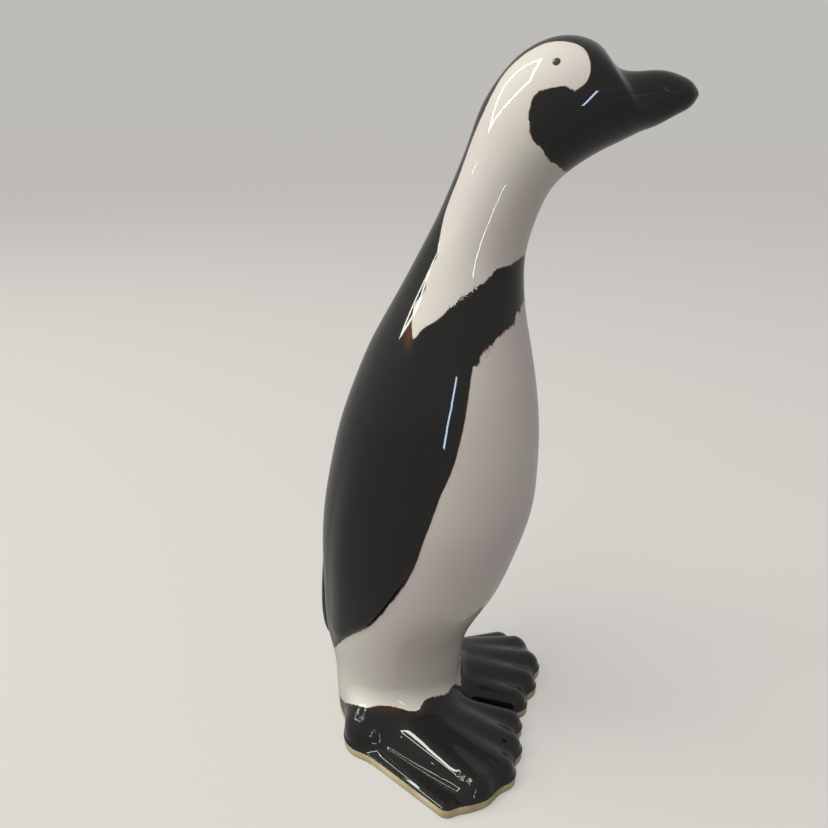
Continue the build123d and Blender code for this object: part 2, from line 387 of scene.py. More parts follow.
def loft_tree():
    """Ellipses through a line of rows, joined to one closed skin."""
    sockets = [("Around", "NodeSocketInt", 176), ("Clay", "NodeSocketMaterial", None)]
    tree, given, result = new_tree("ellipse_loft", sockets)
    size = add(tree, "GeometryNodeAttributeDomainSize", {0: given["Geometry"]}, component="MESH")
    columns = add(tree, "FunctionNodeIntegerMath", {0: given["Around"], 1: 1}, operation="ADD")
    corners = {"Vertices X": size.outputs["Point Count"], "Vertices Y": columns}
    grid = add(tree, "GeometryNodeMeshGrid", corners)
    index = add(tree, "GeometryNodeInputIndex")
    row = add(tree, "FunctionNodeIntegerMath", {0: index, 1: columns}, operation="DIVIDE")
    column = add(tree, "FunctionNodeIntegerMath", {0: index, 1: columns}, operation="MODULO")
    turn = calc(tree, "MULTIPLY", calc(tree, "DIVIDE", column, given["Around"]), math.tau)

    def of_row(name, kind):
        """A row's attribute, read for each grid point."""
        named = add(tree, "GeometryNodeInputNamedAttribute", {0: name}, data_type=kind)
        inputs = {"Geometry": given["Geometry"], "Value": named, "Index": row}
        return add(tree, "GeometryNodeSampleIndex", inputs, data_type=kind, domain="POINT")

    span = {0: of_row("half_span", "FLOAT_VECTOR"), "Scale": calc(tree, "COSINE", turn)}
    reach = add(tree, "ShaderNodeVectorMath", span, operation="SCALE")
    width = calc(tree, "MULTIPLY", of_row("half_width", "FLOAT"), calc(tree, "SINE", turn))
    side = add(tree, "ShaderNodeCombineXYZ", {"X": width})
    middle = of_row("middle", "FLOAT_VECTOR")
    point = add(tree, "ShaderNodeVectorMath", {0: middle, 1: reach}, operation="SUBTRACT")
    point = add(tree, "ShaderNodeVectorMath", {0: point, 1: side}, operation="ADD")
    skin = add(tree, "GeometryNodeSetPosition", {"Geometry": grid, "Position": point})
    closed = add(tree, "GeometryNodeMergeByDistance", {"Geometry": skin, "Distance": 0.002 * mm})
    return clad(tree, closed, given["Clay"], result)


def new_piece(name, points, faces, material=None):
    """A mesh object at the origin, from points in metres."""
    mesh = bpy.data.meshes.new(name)
    mesh.from_pydata([tuple(p) for p in points], [], faces)
    piece = bpy.data.objects.new(name, mesh)
    bpy.context.scene.collection.objects.link(piece)
    if material:
        mesh.materials.append(material)
    return piece


def from_bmesh(name, shape, material=None):
    """A smooth piece made from a bmesh, which is then freed."""
    piece = new_piece(name, [], [], material)
    shape.to_mesh(piece.data)
    shape.free()
    piece.data.shade_smooth()
    return piece


def grown(seed, tree, values):
    """The plain mesh that a tree makes from a seed object; the seed takes that mesh."""
    modifier = seed.modifiers.new(tree.name, "NODES")
    modifier.node_group = tree
    for socket in tree.interface.items_tree:
        if socket.in_out == "INPUT" and socket.name in values:
            modifier[socket.identifier] = values[socket.name]
    settle(seed)
    return seed


def settle(piece):
    """Turns a piece's modifiers into plain mesh, with its faces outward."""
    shape = bpy.data.meshes.new_from_object(piece.evaluated_get(bpy.context.evaluated_depsgraph_get()))
    piece.modifiers.clear()
    piece.data = shape
    shape.name = piece.name
    tidy = bmesh.new()
    tidy.from_mesh(shape)
    bmesh.ops.recalc_face_normals(tidy, faces=tidy.faces)
    tidy.to_mesh(shape)
    tidy.free()
    shape.shade_smooth()
    return piece


ellipse_loft = loft_tree()
print("the loft tree has", len(ellipse_loft.nodes), "nodes")

# %% [markdown]
# ## The cast body
# The rows are sampled closely: every 2.4 mm on the trunk, 1.3 mm on the head and 0.6 mm on the bill,
# where the bends are tighter. A few rows that shrink to a point close the sole and round the bill's
# blunt tip.

# %% Trunk, neck, head and bill in one skin
row_steps = (2.4, 1.3, 0.6)
sole_shares = (0.0, 0.5, 0.9, 0.985)
tip_lead = 0.4


def row_line(name, samples):
    """A line of points that carries the sampled rows, for the loft tree."""
    back = np.stack([np.zeros(len(samples)), -samples[:, 0], samples[:, 1]], axis=1) * mm
    front = np.stack([np.zeros(len(samples)), -samples[:, 2], samples[:, 3]], axis=1) * mm
    middle, half_span = (back + front) / 2, (front - back) / 2
    line = new_piece(name, middle, [])
    for label, kind, data in (("middle", "FLOAT_VECTOR", middle), ("half_span", "FLOAT_VECTOR", half_span)):
        line.data.attributes.new(label, kind, "POINT").data.foreach_set("vector", data.ravel())
    line.data.attributes.new("half_width", "FLOAT", "POINT").data.foreach_set("value", samples[:, 4] * mm)
    return line


def shrunk(row, share, lead):
    """A row drawn in to a share of its size, its middle carried on by a lead."""
    middle = (row[0:2] + row[2:4]) / 2 + lead
    half = (row[2:4] - row[0:2]) / 2 * share
    return np.array([*(middle - half), *(middle + half), row[4] * share])


def closed_rows(first, last):
    """Rows sampled between two places, with the rows that close both ends."""
    edges = [first, joint_place, seam_place, last]
    places = [np.arange(a, b, step) for a, b, step in zip(edges, edges[1:], row_steps)]
    samples = natural_spline(row_places, rows, np.concatenate([*places, [last]]))
    sole = [shrunk(samples[0], share, 0.0) for share in sole_shares]
    heading = samples[-1][0:4] - samples[-2][0:4]
    heading = heading[0:2] + heading[2:4]
    heading = heading / np.linalg.norm(heading)
    tip = [shrunk(samples[-1], math.sqrt(1 - t), heading * t * tip_lead) for t in np.linspace(0.15, 1, 8)]
    return np.array([*sole, *samples, *tip])


body = row_line("glazed_body", closed_rows(glaze_line - slab_top, row_places[-1]))
grown(body, ellipse_loft, {"Clay": glazed_clay})
print("body:", len(body.data.vertices), "points,", len(body.data.polygons), "faces")

# %% [markdown]
# ## Pressing details into the clay
# Two things are pressed into the soft head: a shallow socket round each eye, and the line of the
# closed bill. Both are real dents, so they move the mesh's points along their normals.

# %% Eye sockets and the bill's line
eye_level = (85.0, 389.0)
eye_radius = 2.0
mouth_line = [(109.0, 372.5), (116.0, 373.6), (126.0, 375.0), (137.0, 376.2), (146.0, 376.0)]
# How deep each is pressed, and how far the dent spreads
socket_dent, socket_reach = 0.35, 3.0
mouth_dent, mouth_reach = 0.55, 0.65
clear_of_body = 200.0


def mesh_points(mesh):
    """All points of a mesh, in millimetres."""
    points = np.zeros(len(mesh.vertices) * 3)
    mesh.vertices.foreach_get("co", points)
    return points.reshape(-1, 3) / mm


def mesh_normals(mesh):
    """The normals at all points of a mesh."""
    normals = np.zeros(len(mesh.vertices) * 3)
    mesh.vertices.foreach_get("normal", normals)
    return normals.reshape(-1, 3)


def move_points(mesh, points):
    """Puts the points of a mesh at new places, in millimetres."""
    mesh.vertices.foreach_set("co", (points * mm).ravel())
    mesh.update()


def smooth_run(points, step=0.3):
    """A smooth line through points, read off every step."""
    points = np.array(points, float)
    knots = distances_along(points)
    return natural_spline(knots, points, np.linspace(0, knots[-1], max(2, int(knots[-1] / step))))


def skin_tree(mesh):
    """A search tree over a mesh's faces, for casting rays at it."""
    return BVHTree.FromPolygons([v.co for v in mesh.vertices], [p.vertices for p in mesh.polygons])


def lifted(run, tree, side):
    """Side-view points carried onto the skin of one side; points off the skin are dropped."""
    found = []
    for number, (forward, up) in enumerate(run):
        hit = tree.ray_cast(place(side * clear_of_body, forward, up), Vector((-side, 0, 0)))[0]
        if hit is not None:
            found.append((number, hit / mm))
    return found


def nearest(points, targets):
    """The distance from each point to the nearest target, and that target's number."""
    search = KDTree(len(targets))
    for number, target in enumerate(targets):
        search.insert(target, number)
    search.balance()
    found = [search.find(p) for p in points]
    return np.array([f[2] for f in found]), np.array([f[1] for f in found])


def press_details(piece):
    """Dents the eye sockets and the bill's line into the skin."""
    tree = skin_tree(piece.data)
    points, normals = mesh_points(piece.data), mesh_normals(piece.data)
    eyes = [lifted([eye_level], tree, side)[0][1] for side in (1, -1)]
    run = smooth_run(mouth_line)
    line = [found for side in (1, -1) for found in lifted(run, tree, side)]
    to_eye = nearest(points, eyes)[0]
    to_line, number = nearest(points, [hit for index, hit in line])
    along = np.array([line[n][0] for n in number]) / len(run)
    fade = np.sin(np.pi * np.clip(along, 0, 1)) ** 0.7
    sockets = socket_dent * np.exp(-(to_eye / socket_reach) ** 2)
    mouth = mouth_dent * fade * np.exp(-(to_line / mouth_reach) ** 2)
    move_points(piece.data, points - normals * (sockets + mouth)[:, None])
    return [Vector(eye) for eye in eyes]


eye_places = press_details(body)
print("eyes lie on the skin at", [[round(v, 1) for v in eye] for eye in eye_places])

# %% [markdown]
# ## Where the brush went
# The painter left two white fields on each side: the face and neck, and the belly. Everything else
# is black. Each field's outline is a few points in the side view, measured off the photograph in
# millimetres forward and up, joined by smooth runs. Each run also says how far the brush strayed and
# how much it stippled. The belly ends in a ring round the ankles, whose points have a side as well.
# The distance from every mesh point to the nearest outline is stored in millimetres.

# %% Outlines of the white fields
# Each run: stray and stipple in millimetres, then points forward and up. Runs without stray only
# close the field beyond the body's outline.
face_runs = [
    (0.08, 0.0, [(70, 394), (76, 397), (83, 398.3), (91, 397.4), (97, 394.5), (100, 390), (101, 384),
                 (99.5, 379.5), (95, 376)]),
    (0.35, 0.25, [(95, 376), (89, 378), (82, 377), (77, 375.4), (74.6, 371), (74, 364), (75, 356),
                  (77.5, 351.5)]),
    (0.5, 0.15, [(77.5, 351.5), (80, 350), (82, 346.5), (85, 344), (88, 341), (91, 338), (99, 331)]),
    (0.0, 0.0, [(99, 331), (99, 300), (80, 298.5)]),
    (0.45, 0.3, [(80, 298.5), (74, 297), (70, 295), (66, 292.5), (61, 291.5), (57, 287.5), (52, 283)]),
    (0.35, 1.0, [(52, 283), (48, 280), (43, 276), (38, 272)]),
    (0.2, 0.1, [(38, 272), (34, 267.5), (30, 264.5), (26, 262), (22.5, 258), (20.4, 255)]),
    (0.15, 0.0, [(20.4, 255), (18.9, 260), (18.4, 266), (18.4, 271.5)]),
    (0.2, 0.0, [(18.4, 271.5), (21.5, 276), (24.4, 281), (24.0, 285.5), (25.6, 290), (28, 294), (29.4, 303),
                (33.2, 324), (37, 334), (44, 354), (52, 372), (60, 386), (70, 394)]),
]
belly_runs = [
    (1.9, 0.15, [(80, 274), (72, 271), (70, 266), (66, 259), (61, 256), (57, 248), (52, 244)]),
    (0.14, 0.0, [(52, 244), (51.3, 232), (50, 217), (47.5, 202), (44, 188), (39, 175), (35, 162), (30, 147),
                 (26, 134), (20, 121)]),
    (0.3, 0.15, [(20, 121), (13, 110), (5, 98), (-4, 87), (-14, 79), (-24, 68), (-31, 57)]),
    (0.6, 0.2, [(-31, 57), (-35, 52), (-38, 47), (-44, 44), (-60, 43)]),
    (0.0, 0.0, [(-60, 43), (-60, -20), (120, -20), (120, 274), (80, 274)]),
]
# Side, forward and up of the ring round the ankles, from the back to the front
ankle_ring = [
    (0, -41, 14.5), (14, -37.5, 14), (23, -31.5, 14), (30.5, -26.5, 16.8), (35, -23, 20.5), (40, -19, 24),
    (43.5, -14, 26.3), (46, -5, 27.7), (45, -1, 29), (44, 6.5, 29.7), (43, 13, 29.1), (42.7, 17.6, 28.1),
    (41.4, 22, 27.4), (39.3, 24.3, 27.7), (36.2, 25.2, 29.6), (32.6, 27.3, 31.2), (26, 33.4, 30.3),
    (19, 37.4, 28.6), (13.4, 38.3, 29), (7.5, 39.5, 26.9), (3.8, 40.3, 23.9), (0, 41, 20.5),
]
ring_stray, ring_stipple = 0.7, 0.3


def traced(runs):
    """A closed outline from its runs: its points, and the stray and stipple at each."""
    outline, marks = [], []
    for stray, stipple, points in runs:
        line = smooth_run(points) if stray else np.array(points, float)
        outline.append(line[:-1])
        marks.append(np.tile([stray, stipple], (len(line) - 1, 1)))
    return np.concatenate(outline), np.concatenate(marks)


def side_view(points):
    """Points as the side view shows them: forward and up."""
    return np.stack([-points[:, 1], points[:, 2]], axis=1)


def inside(points, outline):
    """Whether flat points lie inside a closed outline, by counting crossings."""
    x, y = points.T
    odd = np.zeros(len(points), bool)
    for (x0, y0), (x1, y1) in zip(outline, np.roll(outline, -1, axis=0)):
        crossed = (y0 > y) != (y1 > y)
        if crossed.any():
            odd ^= crossed & (x < x0 + (y - y0) * (x1 - x0) / (y1 - y0))
    return odd


def field(points, runs, tree):
    """Depth into a white field in millimetres, negative outside it, and the brush's marks there."""
    outline, marks = traced(runs)
    hits = [found for side in (1, -1) for found in lifted(outline, tree, side)]
    away, number = nearest(points, [hit for index, hit in hits])
    within = inside(side_view(points), outline)
    return np.where(within, away, -away), marks[[hits[n][0] for n in number]]


def above_ring(points):
    """Distance above the ring round the ankles, negative below it."""
    near = smooth_run(ankle_ring)
    ring = np.concatenate([near, near[::-1] * [-1, 1, 1]]) * [1, -1, 1]
    away = nearest(points, ring)[0]
    ring_turn, turn = np.arctan2(ring[:, 0], ring[:, 1]), np.arctan2(points[:, 0], points[:, 1])
    order = np.argsort(ring_turn)
    level = np.interp(turn, ring_turn[order], ring[order, 2], period=math.tau)
    return np.where(points[:, 2] > level, away, -away)


def brushed(points, tree):
    """Ink, stray and stipple at points, from the outlines traced on a skin."""
    ring_depth = above_ring(points)
    face_depth, face_marks = field(points, face_runs, tree)
    belly_depth, belly_marks = field(points, belly_runs, tree)
    at_ring = ring_depth < belly_depth
    belly_depth = np.where(at_ring, ring_depth, belly_depth)
    belly_marks = np.where(at_ring[:, None], [ring_stray, ring_stipple], belly_marks)
    at_face = face_depth > belly_depth
    return -np.where(at_face, face_depth, belly_depth), np.where(at_face[:, None], face_marks, belly_marks)


def carry(piece, ink_values, marks, thin_values):
    """Stores the brush's attributes on a piece's mesh, one number for each point."""
    numbers = {"ink": ink_values, "ragged": marks[:, 0], "stipple": marks[:, 1], "thin": thin_values}
    for name, values in numbers.items():
        layer = piece.data.attributes.get(name) or piece.data.attributes.new(name, "FLOAT", "POINT")
        layer.data.foreach_set("value", np.asarray(values, np.float32))


body_tree = skin_tree(body.data)
body_points = mesh_points(body.data)
body_ink, body_marks = brushed(body_points, body_tree)
# One worn streak runs down beside the face field's lowest point, on each side
streaks, streak_reach = [(35.0, -17.6, 260.0), (-35.0, -17.6, 260.0)], [7.0, 2.6, 8.5]
to_streaks = [np.linalg.norm((body_points - spot) / streak_reach, axis=1) for spot in streaks]
to_streak = np.min(to_streaks, axis=0)
carry(body, body_ink, body_marks, np.exp(-to_streak ** 2))
print("white share of the body's points:", round(float((body_ink < 0).mean()), 2))

# %% [markdown]
# ## Pressed wings and tail
# The wings are thin pads of clay pressed onto the casting. Their front and lower edge stands up to
# 2.4 mm proud and is rounded over by the glaze, and they fade into the shoulder and the back. A pad
# is made as a patch of the body's own surface: a fine grid over the same rows, lifted by a rounded
# profile of the distance to the pad's edges. Outside them it dives under the skin.

# %% Pads draped on the body
wing_front = [
    (30.0, 241.0), (41.0, 238.0), (48.3, 229.0), (49.8, 218.0), (48.5, 207.0), (45.5, 196.5), (42.0, 186.0),
    (37.4, 173.0), (33.3, 160.5), (28.4, 146.0), (24.0, 132.5), (18.0, 120.2), (11.3, 108.8), (3.4, 97.2),
    (-5.2, 86.7), (-14.8, 78.2), (-24.2, 67.9), (-31.6, 58.4),
]
wing_rear = [
    (-31.6, 58.4), (-36.0, 68.6), (-36.2, 86.5), (-34.7, 115.3), (-30.9, 150.0), (-23.3, 187.0),
    (-13.2, 218.8), (2.5, 238.4), (16.0, 243.0), (30.0, 241.0),
]
tail_outline = [
    (0.0, 128.0), (8.0, 121.0), (13.0, 104.0), (15.5, 82.0), (14.0, 63.0), (9.0, 51.0), (0.0, 46.5),
]
# How deep a pad sits outside its edge, its wall, where its roll starts and where its skirt ends
pad_seat, pad_wall, pad_lead, pad_skirt = 0.2, 2.0, 0.8, 1.6
wing_roll, wing_fade, tail_roll = 4.5, 24.0, 3.5
# The least ink on a pad; then how strong and wide its worn line is, and where on the roll it lies
pad_ink, worn_line, worn_width, worn_place = 1.4, 0.1, 0.9, 0.45
# The relief at some heights: the wing fades into the shoulder, and the tail into the back
wing_levels = (60, 110, 150, 170, 185, 200, 212, 222, 230)
wing_reliefs = (2.4, 2.2, 1.6, 1.1, 0.7, 0.35, 0.13, 0.02, -0.04)
tail_levels, tail_reliefs = (46, 60, 90, 128), (3.0, 3.0, 2.0, -0.2)
# The places along the body and the angles round from its back that each patch covers
wing_patch = np.arange(48, 252, 0.95), np.radians(np.linspace(16, 142, 150))
tail_patch = np.arange(36, 136, 0.9), np.radians(np.linspace(-38, 38, 90))


def skin_patch(places, turns):
    """Points of the body's surface over a grid of places along it and angles round from its back."""
    samples = natural_spline(row_places, rows, places)
    middle, half = (samples[:, 0:2] + samples[:, 2:4]) / 2, (samples[:, 2:4] - samples[:, 0:2]) / 2
    flat = middle[:, None] - half[:, None] * np.cos(turns)[None, :, None]
    side = samples[:, 4][:, None] * np.sin(turns)[None, :]
    return np.stack([side, -flat[..., 0], flat[..., 1]], axis=-1)


def pad(name, grid, outline, edges, relief_of):
    """A closed pad: a patch of skin lifted inside its outline, with a skirt under the skin."""
    shape = grid.shape[:2]
    points = grid.reshape(-1, 3)
    across = np.gradient(grid, axis=1).reshape(-1, 3)
    along = np.gradient(grid, axis=0).reshape(-1, 3)
    normals = np.cross(along, across)
    normals /= np.linalg.norm(normals, axis=1)[:, None]
    middle = np.array([0.0, body_points[:, 1].mean(), 0.0])
    normals *= np.sign(((points - middle)[:, :2] * normals[:, :2]).sum(axis=1))[:, None]
    within = outline(points)
    profile, depth = np.ones(len(points)), np.full(len(points), np.inf)
    for hits, roll, ease in edges:
        away = np.where(within, 1, -1) * nearest(points, hits)[0]
        profile *= np.sin(np.clip((away + pad_lead) / (roll + pad_lead), 0, 1) * math.pi / 2) ** ease
        depth = np.where(abs(away) < abs(depth), away, depth)
    lift = (relief_of(points) + pad_seat) * profile - pad_seat
    numbers = np.arange(len(points)).reshape(shape)
    corners = np.stack([numbers[:-1, :-1], numbers[1:, :-1], numbers[1:, 1:], numbers[:-1, 1:]], axis=-1)
    corners = corners.reshape(-1, 4)
    kept = corners[(depth[corners] > -pad_skirt).any(axis=1)]
    piece = new_piece(name, (points + normals * lift[:, None]) * mm, kept.tolist(), glazed_clay)
    loose = bmesh.new()
    loose.from_mesh(piece.data)
    bmesh.ops.delete(loose, geom=[v for v in loose.verts if not v.link_faces], context="VERTS")
    bmesh.ops.recalc_face_normals(loose, faces=loose.faces)
    if sum(f.normal.dot(f.calc_center_median() - Vector(middle) * mm) for f in loose.faces) < 0:
        bmesh.ops.reverse_faces(loose, faces=loose.faces)
    loose.to_mesh(piece.data)
    loose.free()
    wall = piece.modifiers.new("wall", "SOLIDIFY")
    wall.thickness = pad_wall * mm
    wall.offset = -1.0
    settle(piece)
    on_pad = mesh_points(piece.data)
    shoulder = nearest(on_pad, edges[0][0])[0] - edges[0][1] * worn_place
    dark = np.maximum(pad_ink, body_ink[nearest(on_pad, body_points)[1]])
    carry(piece, dark, np.zeros((len(on_pad), 2)), worn_line * np.exp(-(shoulder / worn_width) ** 2))
    return piece


def wing(name, side):
    """One wing: proud and rounded at its lower edge, faded at its shoulder."""
    front, rear = smooth_run(wing_front), smooth_run(wing_rear)
    edges = [
        ([hit for index, hit in lifted(run, body_tree, side)], roll, ease)
        for run, roll, ease in ((front, wing_roll, 1), (rear, wing_fade, 2))
    ]
    around = np.concatenate([front, rear])
    grid = skin_patch(wing_patch[0], wing_patch[1] * side)
    return pad(name, grid, lambda points: inside(side_view(points), around), edges,
               lambda points: np.interp(points[:, 2], wing_levels, wing_reliefs))


def tail_pad(name):
    """The short tail: a tongue on the middle of the back, proudest at its tip."""
    half = smooth_run(tail_outline)
    around = np.concatenate([half, half[::-1] * [-1, 1]])
    starts = [place(side, -clear_of_body, up) for side, up in around]
    hits = [body_tree.ray_cast(start, Vector((0, -1, 0)))[0] / mm for start in starts]
    grid = skin_patch(*tail_patch)
    return pad(name, grid, lambda points: inside(points[:, [0, 2]], around), [(hits, tail_roll, 1)],
               lambda points: np.interp(points[:, 2], tail_levels, tail_reliefs))


left_wing = wing("pressed_left_wing", 1)
right_wing = wing("pressed_right_wing", -1)
tail = tail_pad("pressed_tail")
for pressed in (left_wing, right_wing, tail):
    print(pressed.name, len(pressed.data.polygons), "faces")

# %% [markdown]
# ## Eyes
# Each eye is a small, slightly flattened bead, sunk into its socket by a quarter of its radius and
# turned to face straight out of the skin.

# %% Eye beads
bead_flatness, bead_sink = 0.72, 0.55


def eye_bead(name, centre):
    """A domed bead that stands a little out of the skin."""
    normal = body_tree.find_nearest(centre * mm)[1]
    if normal.x * centre.x < 0:
        normal = -normal
    bead = bmesh.new()
    bmesh.ops.create_uvsphere(bead, u_segments=40, v_segments=24, radius=eye_radius * mm)
    bmesh.ops.scale(bead, vec=(1, 1, bead_flatness), verts=bead.verts)
    turn = normal.to_track_quat("Z", "Y").to_matrix().to_4x4()
    seat = Matrix.Translation(centre * mm - normal * bead_sink * mm)
    bmesh.ops.transform(bead, matrix=seat @ turn, verts=bead.verts)
    return from_bmesh(name, bead, eye_grey)


left_eye = eye_bead("left_eye_bead", eye_places[0])
right_eye = eye_bead("right_eye_bead", eye_places[1])
print("eye beads are", 2 * eye_radius, "mm across")

# %% [markdown]
# ## Feet from rolls of clay
# A foot is made as a potter makes it: tapering rolls of clay for the toes and lower ones for the
# webs are laid side by side, pressed against the ankle and smoothed together. The outer toe and its
# web are pressed down to a flap with a thin edge, so they are kinds of their own. One Geometry Nodes
# tree makes a roll from its two end points and radii.

# %% Rolls of clay
foot_reach, foot_spread = 86.0, 88.0
root_up, tip_up, web_drop = 10.0, 7.5, 2.2

# Root and tip: side over the spread, forward over the reach, from the inner toe outward
inner_toe_shares = [((0.131, 0.372), (0.125, 0.855))]
toe_shares = [
    ((0.273, 0.279), (0.364, 0.884)), ((0.364, 0.209), (0.608, 0.878)), ((0.409, 0.116), (0.790, 0.756)),
]
outer_toe_shares = [((0.560, -0.070), (0.970, 0.598))]
web_shares = [
    ((0.250, 0.326), (0.244, 0.820)), ((0.318, 0.244), (0.489, 0.849)), ((0.386, 0.163), (0.705, 0.791)),
]
outer_web_shares = [((0.420, 0.058), (0.847, 0.663))]
heel_shares = [((0.386, 0.023), (0.472, -0.081))]
# Each kind of roll: its shares, root and tip radius, height of its tip, and how low it lies
roll_kinds = [
    (inner_toe_shares, 11.0, 9.3, tip_up, 0.0), (toe_shares, 16.0, 9.8, tip_up, 0.0),
    (outer_toe_shares, 6.5, 5.0, root_up, 6.5), (web_shares, 16.0, 9.2, tip_up, web_drop),
    (outer_web_shares, 18.0, 14.0, root_up, 14.0), (heel_shares, 16.0, 15.8, root_up, 0.0),
]


def foot_rolls():
    """Each roll of both feet: root, tip, and their radii, in millimetres."""
    found = []
    for side in (1, -1):
        for shares, root_radius, tip_radius, up, drop in roll_kinds:
            for root, tip in shares:
                ends = [
                    np.array(place(side * across * foot_spread, forward * foot_reach, height - drop) / mm)
                    for (across, forward), height in ((root, root_up), (tip, up))
                ]
                found.append((*ends, root_radius, tip_radius))
    return found


def roll_tree():
    """A tapering roll with round ends, from its root to its tip."""
    tree, given, result = new_tree("clay_roll", [
        ("Root", "NodeSocketVector", None), ("Tip", "NodeSocketVector", None),
        ("Root Radius", "NodeSocketFloat", 0.01), ("Tip Radius", "NodeSocketFloat", 0.01),
        ("Clay", "NodeSocketMaterial", None),
    ])
    line = add(tree, "GeometryNodeCurvePrimitiveLine", {"Start": given["Root"], "End": given["Tip"]})
    path = add(tree, "GeometryNodeResampleCurve", {"Curve": line, "Count": 24})
    along = add(tree, "GeometryNodeSplineParameter").outputs["Factor"]
    radius = {"Value": along, "To Min": given["Root Radius"], "To Max": given["Tip Radius"]}
    radius = add(tree, "ShaderNodeMapRange", radius)
    ring = add(tree, "GeometryNodeCurvePrimitiveCircle", {"Resolution": 48, "Radius": 1.0})
    tube = add(tree, "GeometryNodeCurveToMesh", {"Curve": path, "Profile Curve": ring, "Scale": radius,
                                                 "Fill Caps": True})
    join = add(tree, "GeometryNodeJoinGeometry", {0: tube})
    for end in ("Root", "Tip"):
        sizes = {"Segments": 48, "Rings": 24, "Radius": given[end + " Radius"]}
        ball = add(tree, "GeometryNodeMeshUVSphere", sizes)
        moved = add(tree, "GeometryNodeTransform", {"Geometry": ball, "Translation": given[end]})
        tree.links.new(moved.outputs[0], join.inputs[0])
    return clad(tree, join, given["Clay"], result)


clay_roll = roll_tree()
rolls = foot_rolls()
roll_pieces = []
for root, tip, first_radius, last_radius in rolls:
    sizes = {"Root": Vector(root) * mm, "Tip": Vector(tip) * mm, "Clay": glazed_clay,
             "Root Radius": first_radius * mm, "Tip Radius": last_radius * mm}
    roll_pieces.append(grown(new_piece("roll", [], []), clay_roll, sizes))
print(len(rolls), "rolls of clay")

# %% [markdown]
# The rolls and a stub of the trunk are fused by a voxel remesh, which leaves sharp grooves. A potter
# fills them with slip and a wet brush. Here that is one rule: near two surfaces, the blended
# distance is a little less than the distance to either, so its zero line runs through a fillet.
# Every point slides onto that line. The toes get small fillets, and the ankle a wide one. Pressing
# the foot on the table spreads its lowest few millimetres, so the line also flares out there.

# %% The blended distance to the clay
ankle_height = 44.0
stub_step, stub_depth = 2.0, 14.0
toe_blend, ankle_blend = 2.2, 15.0
# Heights above the floor, and how far the foot's edge is spread there
flare_levels, flare_spread = (6.2, 7.2, 8.2, 9.2), (1.4, 0.55, 0.15, 0.0)


def trunk_stub():
    """The lowest part of the trunk, reaching below the floor."""
    samples = natural_spline(row_places, rows, np.arange(0.0, ankle_height, stub_step))
    below = samples[0] - np.array([0, stub_depth, 0, stub_depth, 0])
    ends = [shrunk(row, 0.0, 0.0) for row in (below, samples[-1])]
    stub = row_line("stub", np.array([ends[0], below, *samples, ends[1]]))
    return grown(stub, ellipse_loft, {"Clay": glazed_clay})


def toes_distance(points):
    """Distance to the rolls, with small fillets where they meet."""
    total = np.zeros(len(points))
    for root, tip, first_radius, last_radius in rolls:
        axis = tip - root
        share = np.clip((points - root) @ axis / (axis @ axis), 0, 1)
        away = np.linalg.norm(points - root - share[:, None] * axis, axis=1)
        total += np.exp(-(away - first_radius - share * (last_radius - first_radius)) / toe_blend)
    flare = np.interp(points[:, 2], flare_levels, flare_spread)
    return 0.5 * toe_blend - toe_blend * np.log(np.maximum(total, 1e-30)) - flare


def trunk_distance(points):
    """Distance to the trunk's wall, from the ellipse at each point's height."""
    samples = natural_spline(row_places, rows, np.arange(0.0, 2 * ankle_height, stub_step))
    at = [np.interp(points[:, 2], samples[:, 1], samples[:, i]) for i in (0, 2, 4)]
    middle, half = -(at[0] + at[1]) / 2, (at[1] - at[0]) / 2
    flat = np.stack([points[:, 0] / at[2], (points[:, 1] - middle) / half], axis=1)
    reach = np.maximum(np.linalg.norm(flat, axis=1), 0.05)
    away = np.hypot(points[:, 0], points[:, 1] - middle)
    return (1 - 1 / reach) * away


def clay_distance(points):
    """Distance to the feet and trunk with a wide fillet between them."""
    toes, trunk = toes_distance(points), trunk_distance(points)
    share = np.clip(0.5 + 0.5 * (trunk - toes) / ankle_blend, 0, 1)
    return trunk * (1 - share) + toes * share - ankle_blend * share * (1 - share)


print("fillets in mm: toes", toe_blend, "and ankle", ankle_blend)

# %% [markdown]
# Hands leave marks too. A thin ridge of slip stays along the seam of the outer toe, the black ran
# thin below the ankle, and fingers held the foot at a few spots. All of them are measured off the
# photograph and mirrored to the other foot.

# %% Fuse the feet and smooth the joins
# Side, forward and up along the seam where the outer toe's roll was luted on, from heel to toe
luting_seam = [
    (48.5, 8.5, 21.2), (52, 14, 18.6), (56, 20, 16.2), (59, 24, 15), (61.5, 29, 14.5), (64, 34.5, 13.8),
    (66.5, 40, 13.3), (70, 44.5, 12), (75, 48.5, 11),
]
# Side, forward and up of spots with little black below the ankle's ring, and their reach; then how
# worn the black is there and how far from the ring
thin_spots = [(45, 6, 28.5, 9.0), (37, 26, 28.5, 5.0)]
thin_wear, thin_reach = 0.6, 3.0
# The same of spots with finger marks
finger_spots = [
    (45.5, -15, 22.2, 5.0), (49, -7.5, 22.7, 5.0), (52, 0, 18.5, 4.0), (51, 5.5, 18.1, 4.0),
    (72.5, 57.5, 13.4, 3.5), (74, 65, 13.7, 3.5), (72, 72, 10.6, 3.5),
]
seam_height, seam_reach, seam_ripple = 0.2, 0.8, 37.0
# The remesh's voxels, and how far below the stub's top points are left where they are
voxel, stub_clearance = 0.8, 4.0
# The step that a slope is read over, the least slope squared that counts, and the longest slide
probe, least_slope, longest_slide = 0.2, 0.2, 2.5


def nearness(points, spots, side):
    """How near points are to any of a foot's spots, from 0 to 1."""
    reaches = [np.linalg.norm(points - [side * s, -f, up], axis=1) / reach for s, f, up, reach in spots]
    return np.exp(-np.min(reaches, axis=0) ** 2)


